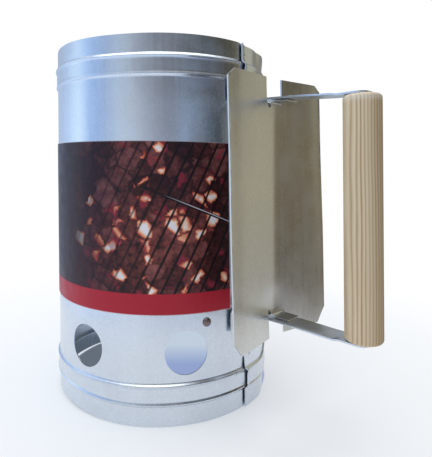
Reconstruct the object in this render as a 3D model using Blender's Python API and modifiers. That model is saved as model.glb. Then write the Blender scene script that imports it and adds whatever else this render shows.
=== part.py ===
"""Chimney charcoal starter: a lapped sheet-metal chimney on a loose grate, with a wooden grip.

Units are metres and +Z is up. The base rim stands on z = 0, and +X points from the chimney to the
grip. The origin lies under the middle of the whole object's box, so the chimney's own axis stands at
x = -AXIS_OFFSET. Everything is laid out from the chimney's axis and parented to an empty there.
"""

import math

import bmesh
import bpy
from mathutils import Matrix, Vector

# ---------------------------------------------------------------- chimney sheet
BODY_RADIUS = 0.094          # outside of the plain wall
BODY_HEIGHT = 0.285
BODY_SHEET = 0.0008
BODY_STEPS = 74              # facets round the chimney

BAND_START = 0.0135          # from each rim to the swaged band
BAND_WIDTH = 0.0175
BAND_FLANK = 0.0019          # height of the step up to a ridge
RIDGE_RISE = 0.0017
DIP_RISE = 0.0009

SEAM_ANGLE = math.radians(2.2)       # free edge of the outer layer, from +X
LAP_ANGLE = math.radians(8.3)        # how far the inner layer runs on under it
LAP_RELIEF = 0.0005                  # air between the two layers
LAP_EASE = math.radians(10.0)        # where the outer layer comes back to the plain radius

# ---------------------------------------------------------------- air holes
VENT_COUNT = 7
VENT_RADIUS = 0.016
VENT_ABOVE_BAND = 0.0054     # from the lower band to the holes
VENT_FIRST = math.radians(-28.8)
VENT_PITCH = math.radians(-49.2)

# ---------------------------------------------------------------- fits
GAP = 0.0003                 # between pieces that touch
HOLE_CLEARANCE = 0.0003      # radial, round a rivet, peg or screw
SLOT_CLEARANCE = 0.0004      # each side of a strap in a notch

# ---------------------------------------------------------------- grate and its pegs
PEG_COUNT = 3
PEG_FIRST = math.radians(-19.1)
PEG_ABOVE_VENTS = 0.0046     # from the holes to the pegs' axes
PEG_RADIUS = 0.0017
PEG_HEAD_RADIUS = 0.0033
PEG_HEAD_RISE = 0.0015
PEG_COLLAR = 0.0012
PEG_REACH = 0.0110           # from the wall's inner face to the peg's end

GRATE_EDGE_CLEARANCE = 0.0036
GRATE_SHEET = 0.0012
GRATE_RIM = 0.0050           # height of the turned-up rim
GRATE_RIM_BEND = 0.0020
GRATE_HOLE_RADIUS = 0.0080
GRATE_HOLE_PITCH = 0.0240
GRATE_BORDER = 0.0050        # at least this much plate outside the outer holes

# ---------------------------------------------------------------- handle
GRIP_STANDOFF = 0.0993       # from the wall to the grip's axis
GRIP_RADIUS = 0.0113
GRIP_ROUND = 0.0026
GRIP_STEPS = 40
LOWER_ARM_TOP = 0.0800       # top face of the lower strap

STRAP_SHEET = 0.0012
STRAP_WIDTH = 0.0170
STRAP_BEND = 0.0026          # centre-line radius of its bends
STRAP_END_RADIUS = 0.0060
STRAP_OVERHANG = 0.0048      # past the grip's axis
FOOT_WIDTH = 0.0250
FOOT_BELOW_BAND = 0.0004     # from the upper foot's tip to the upper band
UPPER_FOOT_HEIGHT = 0.0160   # of each foot, from its arm's middle to its tip
LOWER_FOOT_HEIGHT = 0.0180
UPPER_ARM_RISE = 0.0060      # how much higher the upper arm is at the chimney than at the grip
ARM_JOG = 0.0009             # how much each arm closes in on the grip's end
ARM_JOG_START = 0.0160       # before the grip's axis
ARM_JOG_END = 0.0125

RIVET_RADIUS = 0.0018
RIVET_HEAD_RADIUS = 0.0034
RIVET_HEAD_RISE = 0.0014
RIVET_TAIL_RADIUS = 0.0030
RIVET_TAIL_RISE = 0.0013
RIVET_SPREAD = 0.0140        # between the two rivets of a foot

SCREW_RADIUS = 0.00175
SCREW_HEAD_RADIUS = 0.0034
SCREW_LENGTH = 0.0280
SCREW_TIP = 0.0060
SCREW_SINK = 0.0001          # head below the strap's face
SCREW_RECESS_WIDTH = 0.0009
SCREW_RECESS_SPAN = 0.0040
SCREW_RECESS_DEPTH = 0.0011

# ---------------------------------------------------------------- heat shield
SHIELD_STANDOFF = 0.0333     # from the wall to the fold line
SHIELD_HALF_WIDTH = 0.0528
SHIELD_BELOW_ARM = 0.0135    # below the lower arm's top face
SHIELD_ABOVE_ARM = 0.0129    # above the upper arm's middle at the chimney
SHIELD_SHEET = 0.0012
SHIELD_TOP_FOLD = math.radians(6.0)      # each wing leans towards the grip
SHIELD_BOTTOM_FOLD = math.radians(10.0)
SHIELD_FOLD_SOFTNESS = 0.0030
SHIELD_COLUMNS = 16
SHIELD_ROWS = 8
CORNER_NEAR_TOP = (0.0071, 0.0054)       # each corner is cut off, width by height
CORNER_FAR_TOP = (0.0059, 0.0045)
CORNER_NEAR_BOTTOM = (0.0084, 0.0093)
CORNER_FAR_BOTTOM = (0.0084, 0.0110)
FLAP_LENGTH = 0.0145         # of each flap cut from a notch and folded out
FLAP_SHEET = 0.0010
FLAP_BEND = 0.0020
FLAP_ROOT = 0.0010           # how far a flap is rooted in the shield

# ---------------------------------------------------------------- paper label
LABEL_ABOVE_PEGS = 0.0070
LABEL_BELOW_RIM = 0.0795
LABEL_END = math.radians(-6.8)
LABEL_SPAN = math.radians(135.0)
LABEL_PAPER = 0.00025
LABEL_COLUMNS = 36

ROUND_STEPS = 16             # facets of small round pieces
GRIP_DISTANCE = BODY_RADIUS + GRIP_STANDOFF
SHIELD_DISTANCE = BODY_RADIUS + SHIELD_STANDOFF
VENT_HEIGHT = BAND_START + BAND_WIDTH + VENT_ABOVE_BAND + VENT_RADIUS
PEG_HEIGHT = VENT_HEIGHT + VENT_RADIUS + PEG_ABOVE_VENTS
AXIS_OFFSET = (GRIP_DISTANCE + GRIP_RADIUS - BODY_RADIUS - RIDGE_RISE) / 2
MERGE = 0.00001

COLOURS = {
    "galvanised_body": ((0.62, 0.66, 0.72, 1.0), 0.38, 1.0),
    "galvanised_shield": ((0.50, 0.49, 0.44, 1.0), 0.36, 1.0),
    "galvanised_strap": ((0.58, 0.62, 0.67, 1.0), 0.36, 1.0),
    "grate_steel": ((0.40, 0.39, 0.38, 1.0), 0.55, 1.0),
    "peg_steel": ((0.30, 0.24, 0.23, 1.0), 0.45, 1.0),
    "rivet_steel": ((0.60, 0.61, 0.63, 1.0), 0.35, 1.0),
    "screw_zinc": ((0.66, 0.64, 0.55, 1.0), 0.30, 1.0),
    "pine_wood": ((0.74, 0.61, 0.46, 1.0), 0.60, 0.0),
    "printed_paper": ((0.42, 0.07, 0.10, 1.0), 0.35, 0.0),
}


# ================================================================ scene and helpers
def clear_scene():
    for obj in list(bpy.data.objects):
        bpy.data.objects.remove(obj, do_unlink=True)


def new_collection(name):
    collection = bpy.data.collections.new(name)
    bpy.context.scene.collection.children.link(collection)
    return collection


def make_material(name):
    colour, roughness, metallic = COLOURS[name]
    material = bpy.data.materials.new(name)
    material.use_nodes = True
    shader = material.node_tree.nodes["Principled BSDF"]
    shader.inputs["Base Color"].default_value = colour
    shader.inputs["Roughness"].default_value = roughness
    shader.inputs["Metallic"].default_value = metallic
    material.diffuse_color = colour
    return material


def add_empty(name, location, parent):
    empty = bpy.data.objects.new(name, None)
    empty.location = location
    empty.parent = parent
    PARTS.objects.link(empty)
    return empty


def add_part(name, mesh, material_name, parent, location=(0, 0, 0)):
    """Put a mesh in the scene as one named sub-part."""
    part = bpy.data.objects.new(name, mesh)
    part.location = location
    part.parent = parent
    if not mesh.materials:
        mesh.materials.append(MATERIALS[material_name])
    PARTS.objects.link(part)
    return part


def add_cutter(name, mesh, parent):
    cutter = bpy.data.objects.new(name, mesh)
    cutter.parent = parent
    cutter.hide_render = True
    cutter.display_type = "WIRE"
    CUTTERS.objects.link(cutter)
    return cutter


def mesh_from(name, bm):
    mesh = bpy.data.meshes.new(name)
    bm.to_mesh(mesh)
    bm.free()
    return mesh


def shade(part, angle=35.0):
    part.data.shade_smooth()
    part.data.set_sharp_from_angle(angle=math.radians(angle))


def solidify(part, thickness, offset):
    modifier = part.modifiers.new("sheet", "SOLIDIFY")
    modifier.thickness = thickness
    modifier.offset = offset
    modifier.use_even_offset = True


def boolean(part, other, operation):
    modifier = part.modifiers.new(other.name, "BOOLEAN")
    modifier.operation = operation
    modifier.object = other
    modifier.solver = "EXACT"


def turned_mesh(name, profile):
    """A profile of (radius, height) points at +X, listed down its outer side."""
    bm = bmesh.new()
    points = [bm.verts.new((radius, 0.0, height)) for radius, height in profile]
    for first, second in zip(points, points[1:]):
        bm.edges.new((first, second))
    return mesh_from(name, bm)


def turn(part, steps):
    modifier = part.modifiers.new("turn", "SCREW")
    modifier.axis = "Z"
    modifier.angle = math.tau
    modifier.steps = steps
    modifier.render_steps = steps
    modifier.use_merge_vertices = True
    modifier.merge_threshold = MERGE


def arc(centre, radius, start, end, count):
    """Points on an arc in the plane of a profile, its angles in degrees from the first axis."""
    points = []
    for index in range(count + 1):
        angle = math.radians(start + (end - start) * index / count)
        points.append((centre[0] + radius * math.cos(angle), centre[1] + radius * math.sin(angle)))
    return points


def mapped_sheet(name, columns, rows, place):
    """A flat grid whose points are moved to place(u, v), with u and v from 0 to 1."""
    bm = bmesh.new()
    bmesh.ops.create_grid(bm, x_segments=columns, y_segments=rows, size=0.5)
    for vertex in bm.verts:
        vertex.co = Vector(place(vertex.co.x + 0.5, vertex.co.y + 0.5))
    return mesh_from(name, bm)


def plate_mesh(name, outline, thickness, to_world):
    """A flat outline as a filled 2D curve of that thickness, turned by to_world and made a mesh."""
    curve = bpy.data.curves.new(name, "CURVE")
    curve.dimensions = "2D"
    curve.fill_mode = "BOTH"
    curve.extrude = thickness / 2
    spline = curve.splines.new("POLY")
    spline.points.add(len(outline) - 1)
    for point, (u, v) in zip(spline.points, outline):
        point.co = (u, v, 0.0, 1.0)
    spline.use_cyclic_u = True
    guide = bpy.data.objects.new(name, curve)
    CUTTERS.objects.link(guide)
    bpy.context.view_layer.update()
    evaluated = guide.evaluated_get(bpy.context.evaluated_depsgraph_get())
    mesh = bpy.data.meshes.new_from_object(evaluated)
    bpy.data.objects.remove(guide, do_unlink=True)
    bm = bmesh.new()
    bm.from_mesh(mesh)
    bmesh.ops.remove_doubles(bm, verts=bm.verts, dist=MERGE)
    bmesh.ops.recalc_face_normals(bm, faces=bm.faces)
    bmesh.ops.transform(bm, matrix=to_world, verts=bm.verts)
    bm.to_mesh(mesh)
    bm.free()
    return mesh


def drill(bm, radius, depth, steps, matrix):
    """Add a closed cylinder along the matrix's own Z, centred on it."""
    bmesh.ops.create_cone(
        bm, cap_ends=True, cap_tris=False, segments=steps,
        radius1=radius, radius2=radius, depth=depth, matrix=matrix,
    )


def radial(angle, distance, height):
    """A frame whose Z points outwards from the chimney's axis at that angle."""
    outward = Matrix.Rotation(angle, 4, "Z") @ Matrix.Translation((distance, 0.0, height))
    return outward @ Matrix.Rotation(math.pi / 2, 4, "Y")


def along_x(distance, side, height):
    """A frame whose Z points along +X."""
    return Matrix.Translation((distance, side, height)) @ Matrix.Rotation(math.pi / 2, 4, "Y")


# ================================================================ chimney
WALL_INSIDE = BODY_RADIUS - BODY_SHEET
LAP_RISE = BODY_SHEET + LAP_RELIEF
OUTER_LAYER = BODY_RADIUS + LAP_RISE


def band_points():
    """The swaged band as (distance from the rim, rise): two ridges with a shallow dip between."""
    start = BAND_START
    end = BAND_START + BAND_WIDTH
    middle = (start + end) / 2
    return [
        (start, 0.0),
        (start + BAND_FLANK, RIDGE_RISE),
        (start + 2 * BAND_FLANK, DIP_RISE),
        (middle, DIP_RISE),
        (end - 2 * BAND_FLANK, DIP_RISE),
        (end - BAND_FLANK, RIDGE_RISE),
        (end, 0.0),
    ]


def wall_section():
    """The wall from base to top as (height, rise beyond the plain radius)."""
    lower = band_points()
    upper = [(BODY_HEIGHT - distance, rise) for distance, rise in reversed(band_points())]
    return [(0.0, 0.0)] + lower + upper + [(BODY_HEIGHT, 0.0)]


def lap_rise(turned):
    """Extra radius of the outer layer, at an angle past its free edge."""
    flat = LAP_ANGLE + math.radians(2.0)
    fraction = (turned - flat) / LAP_EASE
    if fraction <= 0.0:
        return LAP_RISE
    if fraction >= 1.0:
        return 0.0
    return LAP_RISE * 0.5 * (1.0 + math.cos(math.pi * fraction))


def build_body(axis):
    section = wall_section()
    rows = len(section) - 1
    sweep = math.tau + LAP_ANGLE

    def place(u, v):
        height, rise = section[round(v * rows)]
        turned = sweep * u
        radius = BODY_RADIUS + rise + lap_rise(turned)
        angle = SEAM_ANGLE + turned
        return radius * math.cos(angle), radius * math.sin(angle), height

    body = add_part("body_shell", mapped_sheet("body_shell", BODY_STEPS, rows, place),
                    "galvanised_body", axis)
    shade(body)
    solidify(body, BODY_SHEET, -1.0)

    bm = bmesh.new()
    for index in range(VENT_COUNT):
        angle = VENT_FIRST + VENT_PITCH * index
        drill(bm, VENT_RADIUS, BODY_RADIUS / 2, 24, radial(angle, BODY_RADIUS, VENT_HEIGHT))
    boolean(body, add_cutter("vent_cutter", mesh_from("vent_cutter", bm), axis), "DIFFERENCE")

    bm = bmesh.new()
    for index in range(PEG_COUNT):
        drill(bm, PEG_RADIUS + HOLE_CLEARANCE, BODY_RADIUS / 4, 10,
              radial(peg_angle(index), BODY_RADIUS, PEG_HEIGHT))
    boolean(body, add_cutter("peg_hole_cutter", mesh_from("peg_hole_cutter", bm), axis), "DIFFERENCE")
    return body


# ================================================================ grate and pegs
GRATE_RADIUS = WALL_INSIDE - GRATE_EDGE_CLEARANCE
GRATE_HEIGHT = PEG_HEIGHT + PEG_RADIUS + GAP


def peg_angle(index):
    return PEG_FIRST + math.tau * index / PEG_COUNT


def build_pegs(axis):
    """Headed pegs through the wall, each with a collar inside that holds it."""
    inside = -BODY_SHEET - 2 * GAP
    sagitta = BODY_RADIUS * (1 - math.cos(math.pi / BODY_STEPS))
    profile = [
        (0.0, PEG_HEAD_RISE),
        (PEG_HEAD_RADIUS * 0.6, PEG_HEAD_RISE * 0.8),
        (PEG_HEAD_RADIUS, PEG_HEAD_RISE * 0.3),
        (PEG_HEAD_RADIUS, 0.0),
        (PEG_RADIUS, 0.0),
        (PEG_RADIUS, inside - sagitta),
        (PEG_HEAD_RADIUS, inside - sagitta),
        (PEG_HEAD_RADIUS, inside - sagitta - PEG_COLLAR),
        (PEG_RADIUS, inside - sagitta - PEG_COLLAR),
        (PEG_RADIUS, inside - PEG_REACH),
        (0.0, inside - PEG_REACH - PEG_RADIUS / 3),
    ]
    mesh = turned_mesh("grate_peg", profile)
    for index in range(PEG_COUNT):
        peg = add_part(f"grate_peg_{index + 1}", mesh, "peg_steel", axis)
        peg.matrix_local = radial(peg_angle(index), BODY_RADIUS + GAP, PEG_HEIGHT)
        turn(peg, ROUND_STEPS)
    shade(peg)


def grate_holes():
    """Centres of the grate's holes: one in the middle and rings of six, twelve and so on."""
    reach = GRATE_RADIUS - GRATE_BORDER - GRATE_HOLE_RADIUS
    centres = [(0.0, 0.0)]
    for ring in range(1, int(reach / GRATE_HOLE_PITCH) + 1):
        count = 6 * ring
        for index in range(count):
            angle = math.tau * index / count
            distance = ring * GRATE_HOLE_PITCH
            centres.append((distance * math.cos(angle), distance * math.sin(angle)))
    return centres


def build_grate(axis):
    """A loose perforated plate with a turned-up rim, which rests on the pegs."""
    bend = (GRATE_RADIUS - GRATE_RIM_BEND, GRATE_RIM_BEND)
    profile = [(GRATE_RADIUS, GRATE_RIM)]
    profile += arc(bend, GRATE_RIM_BEND, 0.0, -90.0, 3)
    profile += [(0.0, 0.0)]
    grate = add_part("charcoal_grate", turned_mesh("charcoal_grate", profile), "grate_steel", axis,
                     (0.0, 0.0, GRATE_HEIGHT))
    turn(grate, 48)
    solidify(grate, GRATE_SHEET, -1.0)
    shade(grate)

    bm = bmesh.new()
    for x, y in grate_holes():
        drill(bm, GRATE_HOLE_RADIUS, GRATE_SHEET * 8, 12, Matrix.Translation((x, y, GRATE_HEIGHT)))
    boolean(grate, add_cutter("grate_hole_cutter", mesh_from("grate_hole_cutter", bm), axis),
            "DIFFERENCE")


# ================================================================ straps and rivets
FOOT_INSIDE = OUTER_LAYER + GAP
FOOT_CENTRE = FOOT_INSIDE + STRAP_SHEET / 2
UPPER_FOOT_TIP = BODY_HEIGHT - BAND_START - BAND_WIDTH - FOOT_BELOW_BAND
UPPER_ROOT_CENTRE = UPPER_FOOT_TIP - UPPER_FOOT_HEIGHT
UPPER_ARM_CENTRE = UPPER_ROOT_CENTRE - UPPER_ARM_RISE
UPPER_END_CENTRE = UPPER_ARM_CENTRE - ARM_JOG
LOWER_ARM_CENTRE = LOWER_ARM_TOP - STRAP_SHEET / 2
LOWER_END_CENTRE = LOWER_ARM_CENTRE + ARM_JOG
GRIP_BOTTOM = LOWER_END_CENTRE + STRAP_SHEET / 2 + GAP
GRIP_LENGTH = UPPER_END_CENTRE - STRAP_SHEET / 2 - GAP - GRIP_BOTTOM
LOWER_FOOT_TIP = LOWER_ARM_CENTRE - LOWER_FOOT_HEIGHT
STRAP_END = GRIP_DISTANCE + STRAP_OVERHANG
ARM_START = FOOT_CENTRE + STRAP_BEND
JOG_START = GRIP_DISTANCE - ARM_JOG_START
JOG_END = GRIP_DISTANCE - ARM_JOG_END
UPPER_SLOPE = UPPER_ARM_RISE / (JOG_START - ARM_START)


def upper_arm_bottom(distance):
    """Height of the sloping arm's lower face, at a distance from the chimney's axis."""
    return UPPER_ARM_CENTRE - STRAP_SHEET / 2 + UPPER_SLOPE * (JOG_START - distance)


def strap_end_stations(level):
    """The rounded free end, as (distance, height, half width)."""
    stations = []
    for angle in (0, 30, 60, 90):
        turned = math.radians(angle)
        distance = STRAP_END - STRAP_END_RADIUS * (1 - math.sin(turned))
        half = STRAP_WIDTH / 2 - STRAP_END_RADIUS * (1 - math.cos(turned))
        stations.append((distance, level, half))
    return stations


def strap_stations(root, level, foot_tip, middle):
    """Centre line of a strap from the foot's tip to the free end, with its half width."""
    foot_side = 1 if foot_tip > root else -1
    bend_start = root + foot_side * STRAP_BEND
    stations = [(FOOT_CENTRE, foot_tip, FOOT_WIDTH / 2), (FOOT_CENTRE, bend_start, FOOT_WIDTH / 2)]
    for step in (1, 2, 3):
        turned = math.pi / 2 * step / 3
        distance = FOOT_CENTRE + STRAP_BEND * (1 - math.cos(turned))
        height = bend_start - foot_side * STRAP_BEND * math.sin(turned)
        taper = FOOT_WIDTH + (STRAP_WIDTH - FOOT_WIDTH) * step / 3
        stations.append((distance, height, taper / 2))
    stations += middle
    stations += strap_end_stations(level)
    return stations


def strap_mesh(name, stations):
    rows = len(stations) - 1

    def place(u, v):
        distance, height, half = stations[round(v * rows)]
        return distance, (2 * u - 1) * half, height

    return mapped_sheet(name, 2, rows, place)


def build_straps(axis):
    """Two flat arms, each bent at the chimney into a foot that is riveted on."""
    half = STRAP_WIDTH / 2
    lower_arm = [(JOG_START, LOWER_ARM_CENTRE, half), (JOG_END, LOWER_END_CENTRE, half)]
    upper_arm = [(JOG_START, UPPER_ARM_CENTRE, half), (JOG_END, UPPER_END_CENTRE, half)]
    lower = strap_stations(LOWER_ARM_CENTRE, LOWER_END_CENTRE, LOWER_FOOT_TIP, lower_arm)
    upper = strap_stations(UPPER_ROOT_CENTRE, UPPER_END_CENTRE, UPPER_FOOT_TIP, upper_arm)
    straps = {}
    for name, stations in (("lower_strap", lower), ("upper_strap", upper)):
        strap = add_part(name, strap_mesh(name, stations), "galvanised_strap", axis)
        shade(strap)
        solidify(strap, STRAP_SHEET, 0.0)
        straps[name] = strap
    return straps


def foot_middle(name):
    """Height of a foot's rivets, halfway along its flat."""
    if name == "lower_strap":
        return (LOWER_ARM_CENTRE - STRAP_BEND + LOWER_FOOT_TIP) / 2
    return (UPPER_ROOT_CENTRE + STRAP_BEND + UPPER_FOOT_TIP) / 2


def build_rivets(axis, body, straps):
    """Two rivets through each foot and both layers of the seam."""
    head_face = FOOT_INSIDE + STRAP_SHEET + GAP
    half_spread = RIVET_SPREAD / 2
    reach = half_spread + RIVET_TAIL_RADIUS
    wall = math.sqrt((WALL_INSIDE * math.cos(math.pi / BODY_STEPS)) ** 2 - reach ** 2)
    grip = head_face - (wall - GAP)
    dome = [
        (0.0, RIVET_HEAD_RISE),
        (RIVET_HEAD_RADIUS * 0.5, RIVET_HEAD_RISE * 0.86),
        (RIVET_HEAD_RADIUS * 0.87, RIVET_HEAD_RISE * 0.5),
    ]
    profile = dome + [
        (RIVET_HEAD_RADIUS, 0.0),
        (RIVET_RADIUS, 0.0),
        (RIVET_RADIUS, -grip),
        (RIVET_TAIL_RADIUS, -grip),
        (RIVET_TAIL_RADIUS * 0.8, -grip - RIVET_TAIL_RISE),
        (0.0, -grip - RIVET_TAIL_RISE),
    ]
    mesh = turned_mesh("strap_rivet", profile)
    for name, strap in straps.items():
        bm = bmesh.new()
        for index, side in enumerate((-half_spread, half_spread)):
            frame = along_x(head_face, side, foot_middle(name))
            rivet = add_part(f"{name}_rivet_{index + 1}", mesh, "rivet_steel", axis)
            rivet.matrix_local = frame
            turn(rivet, ROUND_STEPS)
            drill(bm, RIVET_RADIUS + HOLE_CLEARANCE, BODY_RADIUS / 4, 10, frame)
        cutter_name = f"{name}_rivet_cutter"
        cutter = add_cutter(cutter_name, mesh_from(cutter_name, bm), axis)
        boolean(strap, cutter, "DIFFERENCE")
        boolean(body, cutter, "DIFFERENCE")
    shade(rivet)


# ================================================================ grip and its screws
def screw_profile(growth):
    """A countersunk wood screw with its head's face at height 0, grown all round by growth."""
    neck = SCREW_HEAD_RADIUS - SCREW_RADIUS
    return [
        (0.0, 0.0),
        (SCREW_HEAD_RADIUS + growth, 0.0),
        (SCREW_RADIUS + growth, -neck),
        (SCREW_RADIUS + growth, -SCREW_LENGTH + SCREW_TIP),
        (0.0, -SCREW_LENGTH - growth),
    ]


def build_screw(name, axis, height, upward):
    """One end screw: upward is +1 where its head looks up."""
    screw = add_part(name, turned_mesh(name, screw_profile(0.0)), "screw_zinc", axis)
    facing = Matrix.Rotation(0.0 if upward > 0 else math.pi, 4, "X")
    screw.matrix_local = Matrix.Translation((0.0, 0.0, height)) @ facing
    turn(screw, ROUND_STEPS)
    bm = bmesh.new()
    bmesh.ops.create_cube(bm, size=1.0)
    slot_size = (SCREW_RECESS_SPAN, SCREW_RECESS_WIDTH, 2 * SCREW_RECESS_DEPTH)
    bmesh.ops.scale(bm, vec=slot_size, verts=bm.verts)
    slot = mesh_from("recess_cutter", bm)
    for index in range(2):
        cutter = add_cutter(f"{name}_recess_{index + 1}", slot, axis)
        cutter.matrix_local = screw.matrix_local @ Matrix.Rotation(math.pi / 2 * index, 4, "Z")
        boolean(screw, cutter, "DIFFERENCE")
    shade(screw)


def build_grip(axis, straps):
    """A wooden dowel between the straps, held by a screw into each end on its own axis."""
    lower_face = LOWER_END_CENTRE - STRAP_SHEET / 2 + SCREW_SINK - GRIP_BOTTOM
    upper_face = UPPER_END_CENTRE + STRAP_SHEET / 2 - SCREW_SINK - GRIP_BOTTOM
    bore = SCREW_RADIUS + HOLE_CLEARANCE
    bore_end = SCREW_LENGTH + 2 * HOLE_CLEARANCE
    sink = SCREW_HEAD_RADIUS + HOLE_CLEARANCE

    def sink_radius(depth):
        return sink - depth

    def sink_depth():
        return sink - bore

    upper_depth = upper_face - GRIP_LENGTH
    lower_depth = -lower_face
    top_round = arc((GRIP_RADIUS - GRIP_ROUND, GRIP_LENGTH - GRIP_ROUND), GRIP_ROUND, 90, 0, 4)
    bottom_round = arc((GRIP_RADIUS - GRIP_ROUND, GRIP_ROUND), GRIP_ROUND, 0, -90, 4)
    profile = [
        (0.0, upper_face - bore_end),
        (bore, upper_face - bore_end + SCREW_TIP),
        (bore, upper_face - sink_depth()),
        (sink_radius(upper_depth), GRIP_LENGTH),
    ]
    profile += top_round + bottom_round
    profile += [
        (sink_radius(lower_depth), 0.0),
        (bore, lower_face + sink_depth()),
        (bore, lower_face + bore_end - SCREW_TIP),
        (0.0, lower_face + bore_end),
    ]
    grip = add_part("handle_grip", turned_mesh("handle_grip", profile), "pine_wood", axis)
    turn(grip, GRIP_STEPS)
    shade(grip)
    build_screw("upper_grip_screw", axis, upper_face, 1)
    build_screw("lower_grip_screw", axis, lower_face, -1)

    for name, face, upward in (("upper_strap", upper_face, 1), ("lower_strap", lower_face, -1)):
        bm = bmesh.new()
        wide = sink + STRAP_SHEET
        bmesh.ops.create_cone(
            bm, cap_ends=True, segments=ROUND_STEPS, depth=2 * STRAP_SHEET + 2 * GAP,
            radius1=wide - 2 * STRAP_SHEET - 2 * GAP, radius2=wide,
        )
        cutter = add_cutter(f"{name}_screw_cutter", mesh_from(f"{name}_screw_cutter", bm), axis)
        facing = Matrix.Rotation(0.0 if upward > 0 else math.pi, 4, "X")
        shift = Matrix.Translation((0.0, 0.0, face - upward * GAP))
        cutter.matrix_local = shift @ facing
        boolean(straps[name], cutter, "DIFFERENCE")


# ================================================================ heat shield
SHIELD_BOTTOM = LOWER_ARM_TOP - SHIELD_BELOW_ARM
SHIELD_TOP = UPPER_ROOT_CENTRE + SHIELD_ABOVE_ARM


def fold_angle(height):
    share = (height - SHIELD_BOTTOM) / (SHIELD_TOP - SHIELD_BOTTOM)
    return SHIELD_BOTTOM_FOLD + (SHIELD_TOP_FOLD - SHIELD_BOTTOM_FOLD) * share


def shield_distance(side, height):
    """The shield's mid-face: a soft vee with its wings towards the grip."""
    run = math.hypot(side, SHIELD_FOLD_SOFTNESS) - SHIELD_FOLD_SOFTNESS
    return SHIELD_DISTANCE + run * math.tan(fold_angle(height))


NOTCH_HALF = STRAP_WIDTH / 2 + SLOT_CLEARANCE
UPPER_FLAP_CENTRE = upper_arm_bottom(SHIELD_DISTANCE + FLAP_BEND) - GAP - FLAP_SHEET / 2
LOWER_FLAP_CENTRE = LOWER_ARM_TOP + GAP + FLAP_SHEET / 2
UPPER_NOTCH_FLOOR = UPPER_FLAP_CENTRE - FLAP_BEND
LOWER_NOTCH_FLOOR = LOWER_FLAP_CENTRE + FLAP_BEND


def shield_outline():
    """Outline of the shield seen along X, as (side, height), anticlockwise from its lower left."""
    half = SHIELD_HALF_WIDTH
    near_low, far_low = CORNER_NEAR_BOTTOM, CORNER_FAR_BOTTOM
    near_high, far_high = CORNER_NEAR_TOP, CORNER_FAR_TOP
    return [
        (-half, SHIELD_BOTTOM + near_low[1]),
        (-half + near_low[0], SHIELD_BOTTOM),
        (-NOTCH_HALF, SHIELD_BOTTOM),
        (-NOTCH_HALF, LOWER_NOTCH_FLOOR),
        (NOTCH_HALF, LOWER_NOTCH_FLOOR),
        (NOTCH_HALF, SHIELD_BOTTOM),
        (half - far_low[0], SHIELD_BOTTOM),
        (half, SHIELD_BOTTOM + far_low[1]),
        (half, SHIELD_TOP - far_high[1]),
        (half - far_high[0], SHIELD_TOP),
        (NOTCH_HALF, SHIELD_TOP),
        (NOTCH_HALF, UPPER_NOTCH_FLOOR),
        (-NOTCH_HALF, UPPER_NOTCH_FLOOR),
        (-NOTCH_HALF, SHIELD_TOP),
        (-half + near_high[0], SHIELD_TOP),
        (-half, SHIELD_TOP - near_high[1]),
    ]


def flap_mesh(name, floor, level, slope):
    """A flap that leaves the shield at a notch's floor and lies along a strap."""
    side = 1 if level > floor else -1
    stations = [(SHIELD_DISTANCE, floor - side * FLAP_ROOT)]
    for step in range(4):
        turned = math.pi / 2 * step / 3
        distance = SHIELD_DISTANCE + FLAP_BEND * (1 - math.cos(turned))
        stations.append((distance, floor + side * FLAP_BEND * math.sin(turned)))
    stations.append((SHIELD_DISTANCE + FLAP_LENGTH, level - slope * (FLAP_LENGTH - FLAP_BEND)))
    rows = len(stations) - 1
    half = NOTCH_HALF - SLOT_CLEARANCE

    def place(u, v):
        distance, height = stations[round(v * rows)]
        return distance, (2 * u - 1) * half, height

    return mapped_sheet(name, 1, rows, place)


def build_shield(axis):
    """A folded sheet hung on the straps by the flaps cut from its two notches."""
    margin = 4 * SHIELD_SHEET

    def place(u, v):
        side = (2 * u - 1) * (SHIELD_HALF_WIDTH + margin)
        height = SHIELD_BOTTOM - margin + v * (SHIELD_TOP - SHIELD_BOTTOM + 2 * margin)
        return shield_distance(side, height), side, height

    shield = add_part("heat_shield", mapped_sheet("heat_shield", SHIELD_COLUMNS, SHIELD_ROWS, place),
                      "galvanised_shield", axis)
    shade(shield)
    solidify(shield, SHIELD_SHEET, 0.0)

    upright = Matrix(((0, 0, 1, SHIELD_DISTANCE), (1, 0, 0, 0), (0, 1, 0, 0), (0, 0, 0, 1)))
    blank = plate_mesh("shield_blank", shield_outline(), SHIELD_HALF_WIDTH, upright)
    boolean(shield, add_cutter("shield_blank", blank, axis), "INTERSECT")
    flaps = (
        ("upper_flap", UPPER_NOTCH_FLOOR, UPPER_FLAP_CENTRE, UPPER_SLOPE),
        ("lower_flap", LOWER_NOTCH_FLOOR, LOWER_FLAP_CENTRE, 0.0),
    )
    for name, floor, level, slope in flaps:
        flap = add_cutter(name, flap_mesh(name, floor, level, slope), axis)
        solidify(flap, FLAP_SHEET, 0.0)
        boolean(shield, flap, "UNION")


# ================================================================ paper label
LABEL_BOTTOM = PEG_HEIGHT + LABEL_ABOVE_PEGS
LABEL_TOP = BODY_HEIGHT - LABEL_BELOW_RIM


def build_label(axis):
    """A printed paper wrapped part of the way round the wall, between the band and the pegs."""
    radius = BODY_RADIUS + GAP

    def place(u, v):
        angle = LABEL_END - LABEL_SPAN * (1 - u)
        height = LABEL_BOTTOM + v * (LABEL_TOP - LABEL_BOTTOM)
        return radius * math.cos(angle), radius * math.sin(angle), height

    label = add_part("paper_label", mapped_sheet("paper_label", LABEL_COLUMNS, 1, place),
                     "printed_paper", axis)
    shade(label)
    solidify(label, LABEL_PAPER, 1.0)


# ================================================================ assembly
clear_scene()
PARTS = new_collection("chimney_charcoal_starter")
CUTTERS = new_collection("cutters")
MATERIALS = {name: make_material(name) for name in COLOURS}

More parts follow.
